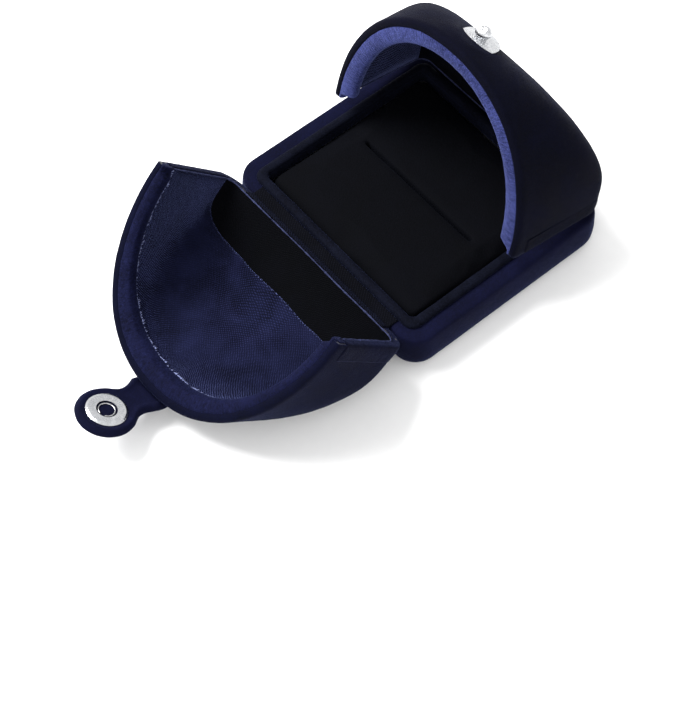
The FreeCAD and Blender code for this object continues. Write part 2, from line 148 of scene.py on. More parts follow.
def grid(name, rows, matrix=None, ring_rows=False, ring_columns=False, capped=False, merge=0.004):
    """A surface through rows of points. Rings close it on itself; capped closes its two open ends."""
    count, width = len(rows), len(rows[0])
    points = [p for row in rows for p in row]
    middle = rows[count // 2]
    across = lengths(list(middle) + [middle[0]])
    column = [row[width // 3] for row in rows]
    along = lengths(column + [column[0]])
    faces, uvs = [], []
    for i in range(count if ring_rows else count - 1):
        for j in range(width if ring_columns else width - 1):
            i2, j2 = (i + 1) % count, (j + 1) % width
            faces.append((i * width + j, i * width + j2, i2 * width + j2, i2 * width + j))
            uvs.append(((across[j], along[i]), (across[j + 1], along[i]),
                        (across[j + 1], along[i + 1]), (across[j], along[i + 1])))
    if capped:
        for i in (0, count - 1):
            centre = sum((Vector(p) for p in rows[i]), Vector()) / width
            points.append(centre)
            for j in range(width):
                j2 = (j + 1) % width
                faces.append((i * width + j, i * width + j2, len(points) - 1))
                uvs.append(((across[j], along[i]), (across[j + 1], along[i]), (across[j], along[i])))
    return mesh_object(name, points, faces, matrix, uvs, merge)


def curve_through(points, steps, closed=False):
    """Points of a smooth line through 2-D or 3-D points."""
    pts = [Vector(p) for p in points]
    count = len(pts)
    spans = count if closed else count - 1
    out = []
    for i in range(spans):
        if closed:
            a, b, c, d = (pts[(i + k) % count] for k in (-1, 0, 1, 2))
        else:
            b, c = pts[i], pts[i + 1]
            a = pts[i - 1] if i else b * 2 - c
            d = pts[i + 2] if i + 2 < count else c * 2 - b
        for k in range(steps):
            t = k / steps
            out.append(0.5 * ((2 * b) + (c - a) * t + (2 * a - 5 * b + 4 * c - d) * t * t
                              + (3 * b - a - 3 * c + d) * t ** 3))
    if not closed:
        out.append(pts[-1])
    return out


def wobble(point, size, seed=0.0):
    """Smooth noise from -1 to 1 whose bumps are about the given size in millimetres."""
    return noise.noise(Vector(point) / size + Vector((seed, seed * 0.37, -seed * 0.71)))


def ruffle(obj, amount, size, seed, keep=None):
    """Moves the surface in and out by smooth noise; keep(point in mm) scales the amount."""
    mesh = obj.data
    normals = [v.normal.copy() for v in mesh.vertices]
    for vertex, normal in zip(mesh.vertices, normals):
        place = vertex.co / MM
        share = keep(place) if keep else 1.0
        vertex.co += normal * (wobble(place, size, seed) * amount * share * MM)
    mesh.update()
    return obj


def thicken(obj, thickness, inward=True):
    """Gives a sheet a thickness in millimetres on one side, and applies it."""
    modifier = obj.modifiers.new("thick", "SOLIDIFY")
    modifier.thickness = thickness * MM
    modifier.offset = -1.0 if inward else 1.0
    modifier.use_even_offset = False
    apply_modifiers(obj)
    return obj


def apply_modifiers(obj):
    bpy.context.view_layer.update()
    graph = bpy.context.evaluated_depsgraph_get()
    mesh = bpy.data.meshes.new_from_object(obj.evaluated_get(graph))
    obj.modifiers.clear()
    obj.data = mesh
    obj.data.shade_smooth()


# ---------------------------------------------------------------- node helpers


class Paint:
    """A material under construction: short calls that add and link nodes."""

    def __init__(self, name):
        self.material = bpy.data.materials.new(name)
        self.material.use_nodes = True
        self.tree = self.material.node_tree
        self.shader = self.tree.nodes["Principled BSDF"]

    def node(self, kind, **values):
        made = self.tree.nodes.new(kind)
        for key, value in values.items():
            setattr(made, key, value)
        return made

    def link(self, source, target):
        self.tree.links.new(source, target)

    def feed(self, socket, value):
        """Links a socket, or sets a plain number or colour on it."""
        if hasattr(value, "links"):
            self.link(value, socket)
        else:
            socket.default_value = value

    def math(self, operation, a, b=0.5, clamp=False):
        made = self.node("ShaderNodeMath", operation=operation, use_clamp=clamp)
        self.feed(made.inputs[0], a)
        self.feed(made.inputs[1], b)
        return made.outputs[0]

    def weigh(self, *pairs, clamp=False):
        """The sum of values, each times its weight."""
        total = None
        for value, weight in pairs:
            part = self.math("MULTIPLY", value, weight)
            total = self.math("ADD", total, part, clamp) if total else part
        return total

    def coords(self, from_uv=False, scale=(1.0, 1.0, 1.0), turn=0.0):
        """Coordinates in millimetres, scaled; UVs are millimetres already."""
        source = self.node("ShaderNodeTexCoord").outputs["UV" if from_uv else "Object"]
        unit = 1.0 if from_uv else 1.0 / MM
        mapping = self.node("ShaderNodeMapping")
        mapping.inputs["Scale"].default_value = [s * unit for s in scale]
        mapping.inputs["Rotation"].default_value = (0.0, 0.0, turn)
        self.link(source, mapping.inputs["Vector"])
        return mapping.outputs["Vector"]

    def noise(self, vector, scale=1.0, detail=2.0, roughness=0.5, distortion=0.0):
        made = self.node("ShaderNodeTexNoise")
        self.link(vector, made.inputs["Vector"])
        for key, value in (("Scale", scale), ("Detail", detail), ("Roughness", roughness),
                           ("Distortion", distortion)):
            made.inputs[key].default_value = value
        return made.outputs["Fac"]

    def ramp(self, factor, stops):
        """stops: (position, value) with value a number or a colour."""
        made = self.node("ShaderNodeValToRGB")
        elements = made.color_ramp.elements
        while len(elements) < len(stops):
            elements.new(0.5)
        for element, (position, value) in zip(elements, stops):
            element.position = position
            element.color = (*value, 1.0) if isinstance(value, tuple) else (value, value, value, 1.0)
        self.link(factor, made.inputs["Fac"])
        return made.outputs["Color"]

    def blend_colour(self, factor, a, b, kind="MIX"):
        made = self.node("ShaderNodeMix", data_type="RGBA", blend_type=kind)
        self.feed(made.inputs[0], factor)
        for socket, value in ((made.inputs[6], a), (made.inputs[7], b)):
            self.feed(socket, (*value, 1.0) if isinstance(value, tuple) else value)
        return made.outputs[2]

    def bump(self, height, distance, strength=1.0, under=None):
        made = self.node("ShaderNodeBump")
        made.inputs["Strength"].default_value = strength
        made.inputs["Distance"].default_value = distance * MM
        self.link(height, made.inputs["Height"])
        if under:
            self.link(under, made.inputs["Normal"])
        return made.outputs["Normal"]

    def edge_wear_and_highlight(self, low=0.5, high=0.62):
        """How far the surface bends outward, from 0 to 1: edges and folds."""
        pointiness = self.node("ShaderNodeNewGeometry").outputs["Pointiness"]
        return self.ramp(pointiness, [(low, 0.0), (high, 1.0)])

    def finish(self, colour, roughness, normal=None, **plain):
        self.feed(self.shader.inputs["Base Color"], colour)
        self.feed(self.shader.inputs["Roughness"], roughness)
        if normal:
            self.link(normal, self.shader.inputs["Normal"])
        for key, value in plain.items():
            self.shader.inputs[key.replace("_", " ")].default_value = value
        return self.material


FLECK_GAIN = 2.6
VELVET_SPECULAR, WOVEN_SPECULAR = 0.02, 0.03


def velvet(name, dark, lit, sheen, nap=9.0, streak=None, fleck=0.25, depth=0.14):
    """Pile fabric. sheen is weight, roughness and tint; nap is the size of the brushed patches in mm;
    streak stretches the pile over the UVs."""
    paint = Paint(name)
    if streak:
        pile_at = paint.coords(from_uv=True, scale=(1.0 / streak[0], 1.0 / streak[1], 1.0))
        pile = paint.noise(pile_at, 1.0, 3.0, 0.6, 0.4)
    else:
        pile = paint.noise(paint.coords(), 3.4, 3.0, 0.62)
    patches = paint.noise(paint.coords(), 1.0 / nap, 3.0, 0.55, 0.6)
    grain = paint.noise(paint.coords(scale=(1.0, 1.35, 0.8)), 7.5, 1.0, 0.5)
    brushed = paint.ramp(patches, [(0.38, 0.0), (0.66, 1.0)])
    tufts = paint.ramp(pile, [(0.36, 0.0), (0.72, 1.0)])
    # Convex edges and folds turn toward the lighter colour: partly rubbed pile, partly a painted
    # highlight along the edges.
    share = paint.weigh((tufts, 0.55), (brushed, 0.28), (paint.edge_wear_and_highlight(), 0.25), clamp=True)
    colour = paint.blend_colour(share, dark, lit)
    specks = paint.ramp(grain, [(0.59, 0.0), (0.73, 1.0)])
    bright = tuple(min(c * FLECK_GAIN, 1) for c in lit)
    colour = paint.blend_colour(paint.math("MULTIPLY", specks, fleck), colour, bright)
    rough = paint.ramp(paint.weigh((pile, 0.6), (patches, 0.4)), [(0.3, 0.62), (0.7, 0.92)])
    normal = paint.bump(patches, depth * 2.2, 0.35)
    normal = paint.bump(pile, depth, 0.9, normal)
    normal = paint.bump(grain, depth * 0.5, 0.6, normal)
    return paint.finish(colour, rough, normal, Sheen_Weight=sheen[0], Sheen_Roughness=sheen[1],
                        Sheen_Tint=(*sheen[2], 1.0), Specular_IOR_Level=VELVET_SPECULAR)


def woven(name, dark, lit, sheen, pitch=0.46):
    """Fine diagonal woven lining; its threads follow the UVs."""
    paint = Paint(name)
    threads = []
    for turn in (math.radians(38), math.radians(-52)):
        split = paint.node("ShaderNodeSeparateXYZ")
        paint.link(paint.coords(from_uv=True, turn=turn), split.inputs[0])
        jitter = paint.math("MULTIPLY", paint.noise(paint.coords(from_uv=True), 0.9, 2.0), 0.5)
        place = paint.math("ADD", split.outputs[0], jitter)
        wave = paint.math("SINE", paint.math("MULTIPLY", place, 2 * PI / pitch))
        threads.append(paint.math("ADD", paint.math("MULTIPLY", wave, 0.5), 0.5))
    weave = paint.math("MULTIPLY", threads[0], threads[1])
    patches = paint.noise(paint.coords(), 0.11, 2.0, 0.5, 0.4)
    fuzz = paint.noise(paint.coords(), 4.5, 2.0, 0.6)
    share = paint.math("MULTIPLY", weave, paint.ramp(fuzz, [(0.3, 0.45), (0.7, 1.0)]))
    worn = paint.ramp(patches, [(0.4, 0.0), (0.7, 1.0)])
    share = paint.weigh((share, 0.75), (worn, 0.2), clamp=True)
    colour = paint.blend_colour(share, dark, lit)
    rough = paint.ramp(weave, [(0.0, 0.82), (1.0, 0.55)])
    normal = paint.bump(patches, 0.5, 0.25)
    normal = paint.bump(weave, 0.16, 0.9, normal)
    normal = paint.bump(fuzz, 0.06, 0.5, normal)
    return paint.finish(colour, rough, normal, Sheen_Weight=sheen[0], Sheen_Roughness=sheen[1],
                        Sheen_Tint=(*sheen[2], 1.0), Specular_IOR_Level=WOVEN_SPECULAR)


def polished(name, origin=None, axis=None, lines=0.0, relief=0.6, tone=(0.62, 0.63, 0.65)):
    """Bright nickel. With an origin and an axis it has fine lines that run outward from the axis."""
    paint = Paint(name)
    where = paint.coords()
    haze = paint.noise(where, 0.9, 4.0, 0.6)
    scratch = paint.noise(paint.coords(scale=(0.7, 6.0, 2.0)), 2.0, 3.0, 0.6, 0.8)
    rough = paint.ramp(paint.weigh((haze, 0.5), (scratch, 0.5)), [(0.3, 0.12), (0.75, 0.34)])
    dull = tuple(c * 0.72 for c in tone)
    colour = paint.blend_colour(paint.ramp(haze, [(0.3, 0.0), (0.8, 1.0)]), tone, dull)
    normal = paint.bump(scratch, 0.02, 0.5)
    if axis:
        side = Vector(axis).orthogonal().normalized()
        other = Vector(axis).cross(side).normalized()
        offset = paint.node("ShaderNodeVectorMath", operation="SUBTRACT")
        paint.link(paint.node("ShaderNodeTexCoord").outputs["Object"], offset.inputs[0])
        offset.inputs[1].default_value = origin
        parts = []
        for direction in (side, other):
            dot = paint.node("ShaderNodeVectorMath", operation="DOT_PRODUCT")
            paint.link(offset.outputs["Vector"], dot.inputs[0])
            dot.inputs[1].default_value = direction
            parts.append(dot.outputs["Value"])
        angle = paint.math("ARCTAN2", parts[0], parts[1])
        ray = paint.math("SINE", paint.math("MULTIPLY", angle, lines))
        normal = paint.bump(ray, 0.03, relief, normal)
        # The grooves between the fine lines are darkened in colour: painted shade in the grooves.
        shade = paint.ramp(ray, [(0.0, 0.0), (1.0, 1.0)])
        groove_shade = tuple(c * 0.45 for c in tone)
        colour = paint.blend_colour(paint.math("MULTIPLY", shade, 0.35 * relief), colour, groove_shade)
    return paint.finish(colour, rough, normal, Metallic=1.0)


def matte(name, dark, lit, grain=1.2, depth=0.05, roughness=(0.6, 0.9), metallic=0.0):
    """Card, foam and moulded plastic: a mottled, slightly rough surface."""
    paint = Paint(name)
    coarse = paint.noise(paint.coords(), 0.16, 3.0, 0.55)
    fine = paint.noise(paint.coords(), grain, 4.0, 0.65)
    share = paint.weigh((coarse, 0.5), (fine, 0.5))
    colour = paint.blend_colour(paint.ramp(share, [(0.35, 0.0), (0.68, 1.0)]), dark, lit)
    colour = paint.blend_colour(paint.math("MULTIPLY", paint.edge_wear_and_highlight(), 0.4), colour, lit)
    rough = paint.ramp(fine, [(0.3, roughness[0]), (0.7, roughness[1])])
    normal = paint.bump(fine, depth, 0.7, paint.bump(coarse, depth * 3, 0.3))
    return paint.finish(colour, rough, normal, Metallic=metallic)


NAVY = (0.0018, 0.0020, 0.0062)
NAVY_LIT = (0.0050, 0.0058, 0.0230)
GLOW = (0.34, 0.41, 0.95)
VELVET_OUTER = velvet("outer_velvet", NAVY, NAVY_LIT, (0.16, 0.26, GLOW))
# The lids' outer velvet is one cloth in two copies: the left copy's lighter base colour and stronger
# sheen are painted light, and the right copy's darker one is painted shade.
OUTER_LIT_AND_SHADED = {
    "left": velvet("left_outer_velvet_lit_copy", (0.0013, 0.0015, 0.0044), (0.0036, 0.0044, 0.0165),
                   (0.085, 0.26, GLOW)),
    "right": velvet("right_outer_velvet_shaded_copy", (0.0011, 0.0012, 0.0026), (0.0028, 0.0032, 0.0100),
                    (0.035, 0.26, GLOW))}
# The rims are one velvet in two copies: the right rim's bright blue base colour is a painted highlight
# band, and the left rim's dark base colour is painted shade.
RIM_LIT_AND_SHADED = {
    "left": velvet("left_rim_velvet_shaded_copy", (0.0014, 0.0016, 0.0050), (0.0080, 0.0095, 0.0360),
                   (0.10, 0.28, GLOW), nap=9.0, streak=(1.2, 0.42), fleck=0.6, depth=0.2),
    "right": velvet("right_rim_velvet_lit_copy", (0.0050, 0.0060, 0.0230), (0.0480, 0.0590, 0.1950),
                    (0.34, 0.28, GLOW), nap=12.0, streak=(1.6, 0.42), fleck=0.6, depth=0.24)}
VELVET_PAD = velvet("pad_velvet", (0.0011, 0.0012, 0.0017), (0.0024, 0.0026, 0.0040),
                    (0.012, 0.4, (0.5, 0.55, 0.9)), nap=14.0, fleck=0.12)
VELVET_LIP = velvet("lip_velvet", (0.0008, 0.0009, 0.0020), (0.0055, 0.0066, 0.0140),
                    (0.06, 0.26, GLOW), nap=7.0, fleck=0.35)
LINING = woven("woven_lining", (0.0014, 0.0017, 0.0055), (0.0200, 0.0240, 0.0800), (0.36, 0.22, GLOW))
# The end wall's lining is the same woven cloth made near-black with almost no sheen: painted shade.
LINING_PAINTED_SHADE = woven("end_lining", (0.0007, 0.0008, 0.0012), (0.0018, 0.0020, 0.0040),
                    (0.015, 0.3, GLOW))
LINING_EDGE = velvet("lining_edge", (0.0040, 0.0048, 0.0150), (0.0500, 0.0580, 0.1250),
                     (0.12, 0.3, GLOW), nap=2.5)
PILE_TIPS = velvet("pile_tips", (0.040, 0.048, 0.130), (0.240, 0.270, 0.480),
                   (0.4, 0.35, (0.6, 0.65, 1.0)), nap=3.0)
TAPE = woven("hinge_tape_weave", (0.0010, 0.0011, 0.0020), (0.0036, 0.0040, 0.0080),
             (0.03, 0.3, GLOW), 0.6)
PLASTIC = matte("moulded_wall", (0.010, 0.010, 0.012), (0.030, 0.030, 0.036), 1.6, 0.03, (0.35, 0.6))
FOAM = matte("foam_sheet", (0.022, 0.022, 0.028), (0.060, 0.060, 0.072), 2.6, 0.25)
CARD = matte("bottom_board", (0.012, 0.013, 0.022), (0.030, 0.032, 0.050), 2.2, 0.05, (0.55, 0.8))


def dress(obj, material):
    obj.data.materials.clear()
    obj.data.materials.append(material)
    return obj


# ---------------------------------------------------------------- the lids' surfaces
# A lid's own frame has its origin on the hinge line, X toward the rim and Z up when shut. A depth of
# 0 is the outside of the wall and 1 is the inside of the rim.

LID_LENGTH, LID_HALF, LID_HEIGHT, LID_END = 32.3, 33.8, 42.9, 3.5
WALL_TOP, WALL_SIDE, WALL_END, END_DROP = 6.0, 3.0, 3.8, 1.5
CORNER, CORNER_DROP = 6.5, 4.0
CROWN_POWER, ARCH_POWER, ARCH_GAIN = 1.65, 2.15, 3.5
LINER_DEPTH = 0.8
LINING_THICK, LINING_TURNS = 0.35, 140
SEAM_RUN = 26.3


def lid_matrix(side):
    joint = JOINTS[side + "_lid_hinge"]
    low, high = (math.radians(angle) for angle in joint["range_deg"])
    turn = Matrix.Rotation(-high, 4, "Y")
    if side == "right":
        turn = Matrix.Rotation(-low, 4, "Y") @ Matrix.Rotation(PI, 4, "Z")
    return Matrix.Translation(joint["pos_m"]) @ turn


def reach_of(depth):
    return LID_LENGTH - depth * WALL_END


def lid_point(run, turn, depth, squash=1.0):
    """A point of the wall: run back from the rim, turn 0 to pi over the arch, depth into the wall."""
    reach = reach_of(depth)
    run = min(run, reach)
    part = max(run / reach, 0.0)
    end = LID_END - depth * END_DROP
    fall = (1 - part ** CROWN_POWER) ** (1 / CROWN_POWER)
    height = end + (LID_HEIGHT - depth * WALL_TOP - end) * fall
    corner = CORNER - depth * CORNER_DROP
    into = max(run - (reach - corner), 0.0)
    half = LID_HALF - depth * WALL_SIDE - corner + math.sqrt(max(corner ** 2 - into ** 2, 0.0))
    power = ARCH_POWER + ARCH_GAIN * part ** 2
    side, rise = math.cos(turn), max(math.sin(turn), 0.0)
    y = half * math.copysign(abs(side) ** (2 / power), side)
    return Vector((LID_LENGTH - run, y, height * rise ** (2 / power) * squash))


def crown(run, depth=0.0):
    return lid_point(run, PI / 2, depth).z


def turns(count):
    """Even turns over the arch, from one foot to the other."""
    return [PI * i / count for i in range(count + 1)]


def wall_outline(depth, start_run, steps=70):
    """The foot of one surface, from rim foot to rim foot round the hinge end, with outward normals."""
    reach = reach_of(depth)
    corner = CORNER - depth * CORNER_DROP
    half = LID_HALF - depth * WALL_SIDE
    end_x = LID_LENGTH - reach
    points = []
    for i in range(steps):
        x = mix(LID_LENGTH - start_run, end_x + corner, i / steps)
        points.append((Vector((x, half, 0)), Vector((0, 1, 0))))
    for i in range(16):
        angle = PI / 2 * i / 16
        way = Vector((-math.sin(angle), math.cos(angle), 0))
        points.append((Vector((end_x + corner, half - corner, 0)) + way * corner, way))
    for i in range(steps + 1):
        points.append((Vector((end_x, mix(half - corner, 0, i / steps), 0)), Vector((-1, 0, 0))))
    mirrored = [(Vector((p.x, -p.y, 0)), Vector((n.x, -n.y, 0))) for p, n in points[-2::-1]]
    return points + mirrored


COVER_SECTIONS = 60
COVER_TURNS = 128
STUD_RUN = 9.2
MOUND_HIGH, MOUND_AWAY, MOUND_WIDE = 0.275, 5.6, 1.5
OUTER_THICK = 0.45
SHEET_START = 2.0
LID_MIDDLE = Vector((LID_LENGTH * 0.55 * MM, 0, 0))


# (run, share of the front's depth) where the outer velvet turns over the rim's front
FRONT_TURN = [(0.55, 1.08), (0.16, 1.02), (-0.06, 0.86), (-0.12, 0.62), (-0.04, 0.38), (0.22, 0.18),
              (0.6, 0.07), (1.1, 0.02), (1.6, 0.0)]
FRONT_DEPTH_SIDE, FRONT_DEPTH_TOP = 0.66, 0.40


def front_depth(turn):
    """How deep into the wall the outer velvet reaches on the rim's front."""
    return mix(FRONT_DEPTH_SIDE, FRONT_DEPTH_TOP, smooth_step(math.sin(turn), 0.35, 0.97))


def make_outer_velvet(side):
    matrix = lid_matrix(side)
    reach = reach_of(0.0)
    front = [[lid_point(run, turn, share * front_depth(turn)) for turn in turns(COVER_TURNS)]
             for run, share in curve_through(FRONT_TURN, 2)]
    rows = []
    for i in range(COVER_SECTIONS + 1):
        run = max(reach * math.sin(PI / 2 * i / COVER_SECTIONS), SHEET_START)
        row = []
        for turn in turns(COVER_TURNS):
            point = lid_point(run, turn, 0.0)
            if side == "right":
                away = math.hypot(point.y, run - STUD_RUN)
                lift = MOUND_HIGH * math.exp(-((away - MOUND_AWAY) / MOUND_WIDE) ** 2)
                point = lid_point(run, turn, -lift / WALL_TOP)
            row.append(point)
        rows.append(row)
    first = [i for i, row in enumerate(rows) if row[0].x < LID_LENGTH - SHEET_START + 1e-6][0]
    name = side + "_lid_outer_velvet"
    obj = grid(name, front + rows[first:], matrix)
    face_outward(obj, matrix @ LID_MIDDLE)
    obj = thicken(obj, OUTER_THICK)
    ruffle(obj, 0.07, 7.0, 3.1)
    ruffle(obj, 0.035, 1.6, 5.3)
    dress(obj, OUTER_LIT_AND_SHADED[side])
    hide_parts(side + "_lid_cover")
    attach(obj, side + "_lid")


def face_outward(obj, inside):
    """Turns an open sheet's normals away from a point."""
    mesh = obj.data
    middle = mesh.polygons[len(mesh.polygons) // 2]
    if middle.normal.dot(middle.center - inside) < 0:
        mesh.flip_normals()
        mesh.update()


# (run, depth, share of the front's depth, padding share) round the inner roll's section; its depth is
# the second number plus the third times the depth the outer velvet reaches
RIM_SECTION = [
    (3.9, 0.30, 0, 0), (2.4, 0.25, 0, 0), (1.4, 0.26, 0, 0), (0.85, -0.20, 1, 0), (0.55, -0.09, 1, 0),
    (0.12, 0.0, 1, 0), (-0.05, 0.10, 1, 0.3), (0.02, 0.50, 0.5, 0.6), (0.28, 0.88, 0, 0.85),
    (0.7, 0.97, 0, 1), (1.6, 1.02, 0, 1), (2.8, 1.03, 0, 0.9), (3.8, 0.99, 0, 0.6), (4.35, 0.92, 0, 0.3),
    (4.3, 0.85, 0, 0.1), (3.7, 0.8, 0, 0), (3.0, 0.62, 0, 0), (2.9, 0.45, 0, 0)]
RIM_PADDING = {"left": 1.3, "right": 3.2}
RIM_PADDING_TOP = {"left": 0.0, "right": 0.4}
RIM_COLUMNS = 420


def rim_jag(distance, seed):
    """How far the cut edge of the pile reaches back over the lining."""
    return (0.55 * wobble((distance, 0, 0), 1.1, seed) + 0.5 * wobble((distance, 3, 0), 0.55, seed + 2)
            + 0.35 * wobble((distance, 7, 0), 6.0, seed + 4))


def rim_inward(side):
    """How far the padded roll stands into the lid: most at the sides, and nothing at the very foot."""
    def inward(turn, point):
        clear_of_lip = smooth_step(point.z, 0.9, 2.6)
        across = math.cos(turn)
        side_part = -RIM_PADDING[side] * math.copysign(abs(across) ** 0.8, across)
        return Vector((0, side_part, -RIM_PADDING_TOP[side] * math.sin(turn))) * clear_of_lip
    return inward


def make_rim(side, seed):
    matrix = lid_matrix(side)
    section = curve_through(RIM_SECTION, 3, closed=True)
    peak = max(range(len(section)), key=lambda i: section[i].x if section[i].y > 0.7 else -1)
    inward_of = rim_inward(side)
    rows = []
    arc = lengths([lid_point(0, turn, 1.0) for turn in turns(RIM_COLUMNS)])
    for turn, distance in zip(turns(RIM_COLUMNS), arc):
        jag = rim_jag(distance, seed)
        row = []
        for k, at in enumerate(section):
            near = max(0.0, 1 - abs(k - peak) / 5.0)
            run = at.x + jag * near * 0.9
            lump = 0.10 * wobble((distance, k * 0.35, 0), 2.2, seed + 9)
            depth = at.y + at.z * front_depth(turn)
            point = lid_point(run - lump * 0.6, turn, depth + lump * 0.05)
            row.append(point + inward_of(turn, point) * max(at.w, 0.0))
        rows.append(row)
    for end, order in ((0, 1), (-1, -1)):
        base = rows[end]
        centre = sum(base, Vector()) / len(base)
        extra = []
        for shrink, drop in ((0.93, -0.16), (0.75, -0.27), (0.4, -0.33)):
            extra.append([centre + (p - centre) * shrink + Vector((0, 0, drop)) for p in base])
        rows = extra[::-1] + rows if order == 1 else rows + extra
    obj = grid(side + "_lid_rim_velvet", rows, matrix, ring_columns=True, capped=True)
    ruffle(obj, 0.05, 1.3, seed)
    dress(obj, RIM_LIT_AND_SHADED[side])
    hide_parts(side + "_lid_rim")
    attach(obj, side + "_lid")


TUFTS = 260


def make_pile_edge(side, seed):
    """The pale cut pile that stands along the rim's inner edge: many small pointed tufts."""
    matrix = lid_matrix(side)
    rng = random.Random(seed)
    inward_of = rim_inward(side)
    points, faces = [], []
    around = [lid_point(4.3, turn, 0.9) for turn in turns(600)]
    arc = lengths(around)
    at_inner = lengths([lid_point(0, turn, 1.0) for turn in turns(600)])
    for i in range(TUFTS):
        want = arc[-1] * (i + rng.uniform(0.1, 0.9)) / TUFTS
        k = min(max(int(np.searchsorted(arc, want)), 1), 599)
        turn = PI * k / 600
        jag = rim_jag(at_inner[k], seed) * 0.9
        root_run = 3.9 + jag
        tip_run = root_run + rng.uniform(0.45, 1.25)
        root = lid_point(root_run, turn, 0.97)
        shift = inward_of(turn, root)
        tip_turn = turn + rng.uniform(-0.006, 0.006)
        tip = lid_point(tip_run, tip_turn, rng.uniform(0.86, 1.0)) + shift * 0.35
        along = (lid_point(root_run, turn + 0.004, 0.97) - root).normalized()
        inward = (lid_point(root_run, turn, 1.1) - root).normalized()
        root += shift * 0.55
        wide, tall = rng.uniform(0.15, 0.30), rng.uniform(0.14, 0.26)
        first = len(points)
        points += [root + along * wide, root + inward * tall, root - along * wide,
                   root - inward * tall * 2, tip]
        faces += [(first + a, first + (a + 1) % 4, first + 4) for a in range(4)]
        faces.append((first, first + 3, first + 2, first + 1))
    obj = mesh_object(side + "_lid_pile_edge", points, faces, matrix, merge=0.0005)
    dress(obj, PILE_TIPS)
    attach(obj, side + "_lid")


PLATE_RUN, PLATE_BULGE = 8.1, 0.25
PLATE_COVERED, PLATE_FADED = 4.0, 6.6
LINING_START, LINING_ROWS = 2.6, 34


def plate_bulge(side, point, run):
    """How much deeper the lining lies where it covers the snap's backplate."""
    if side == "left":
        return 0.0
    away = math.hypot(point.y, run - PLATE_RUN)
    return PLATE_BULGE * (1 - smooth_step(away, PLATE_COVERED, PLATE_FADED))


def make_liner(side, seed):
    matrix = lid_matrix(side)
    stations = [(LINING_START + (SEAM_RUN - LINING_START) * i / LINING_ROWS, LINER_DEPTH + 0.02)
                for i in range(LINING_ROWS + 1)]
    stations += [(SEAM_RUN + 0.35, LINER_DEPTH + 0.05), (SEAM_RUN + 0.75, LINER_DEPTH + 0.01),
                 (SEAM_RUN + 0.85, LINER_DEPTH - 0.06)]
    rows = []
    for run, depth in stations:
        row = []
        for turn in turns(LINING_TURNS):
            point = lid_point(run, turn, depth)
            soft = 0.035 * wobble(point, 11.0, seed) + 0.015 * wobble(point, 3.5, seed + 3)
            cover = plate_bulge(side, point, run)
            row.append(lid_point(run, turn, depth + cover + soft * smooth_step(run, 4.0, 8.0)))
        rows.append(row)
    obj = grid(side + "_lid_lining", rows, matrix)
    face_outward(obj, matrix @ LID_MIDDLE)
    obj = thicken(obj, LINING_THICK, inward=False)
    dress(obj, LINING)
    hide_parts(side + "_lid_liner")
    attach(obj, side + "_lid")


END_START, END_ROWS = 20.8, 26


def make_end_liner(side, seed):
    matrix = lid_matrix(side)
    reach = reach_of(LINER_DEPTH)
    rows = []
    for i in range(END_ROWS + 1):
        run = END_START + (reach - END_START) * math.sin(PI / 2 * i / END_ROWS)
        depth = LINER_DEPTH - 0.10 + 0.09 * smooth_step(run, SEAM_RUN - 0.2, SEAM_RUN + 1.6)
        row = []
        for turn in turns(LINING_TURNS):
            soft = 0.03 * wobble(lid_point(run, turn, depth), 9.0, seed)
            calm = smooth_step(run, SEAM_RUN, SEAM_RUN + 3) * smooth_step(reach - run, 0, 2)
            place = run * (reach_of(depth) / reach) if i == END_ROWS else run
            row.append(lid_point(place, turn, depth + soft * calm))
        rows.append(row)
    for squash in (0.8, 0.55, 0.3, 0.1, 0.0):
        rows.append([lid_point(LID_LENGTH, turn, LINER_DEPTH - 0.01, squash)
                     for turn in turns(LINING_TURNS)])
    obj = grid(side + "_lid_end_lining", rows, matrix, merge=0.01)
    face_outward(obj, matrix @ LID_MIDDLE)
    obj = thicken(obj, LINING_THICK, inward=False)
    dress(obj, LINING_PAINTED_SHADE)
    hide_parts(side + "_lid_end_liner")
    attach(obj, side + "_lid")


def roll_along(name, outline, section_at, matrix, seed, noise_mm=0.05):
    """A closed soft roll along an outline of (point, outward normal)."""
    rows = []
    distance = lengths([p for p, _ in outline])
    for k, ((point, way), along) in enumerate(zip(outline, distance)):
        share = min(along, distance[-1] - along)
        close = math.sqrt(min(max(share / 0.8, 0.02), 1.0))
        loop = section_at(along, point)
        centre = sum((Vector(q) for q in loop), Vector((0, 0))) / len(loop)
        row = []
        for q in loop:
            q = centre + (Vector(q) - centre) * close
            row.append(point + way * q.x + Vector((0, 0, q.y)))
        rows.append(row)
    obj = grid(name, rows, matrix, ring_columns=True, capped=True)
    return ruffle(obj, noise_mm, 1.5, seed)


HEM_SECTION = [
    (-0.02, 4.6), (0.10, 3.7), (0.20, 2.6), (0.26, 1.5), (0.20, 0.55), (0.0, 0.0), (-0.5, -0.28),
    (-1.2, -0.33), (-1.9, -0.26), (-2.25, 0.1), (-2.2, 0.9), (-1.4, 1.2), (-0.7, 2.2), (-0.45, 3.6)]


def make_hem(side, seed):
    """The outer velvet turned under the wall's bottom edge: a thick rolled edge."""
    matrix = lid_matrix(side)
    section = curve_through(HEM_SECTION, 3, closed=True)

    def section_at(along, point):
        under = smooth_step(point.x, 1.0, 7.0)
        swell = 1 + 0.10 * wobble((along, 0, 0), 9.0, seed)
        return [(q.x * swell if q.x > 0 else q.x, q.y if q.y > 0 else q.y * mix(0.1, 1.0, under))
                for q in section]

    obj = roll_along(side + "_lid_hem", wall_outline(0.0, 3.0), section_at, matrix, seed)
    dress(obj, OUTER_LIT_AND_SHADED[side])
    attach(obj, side + "_lid")


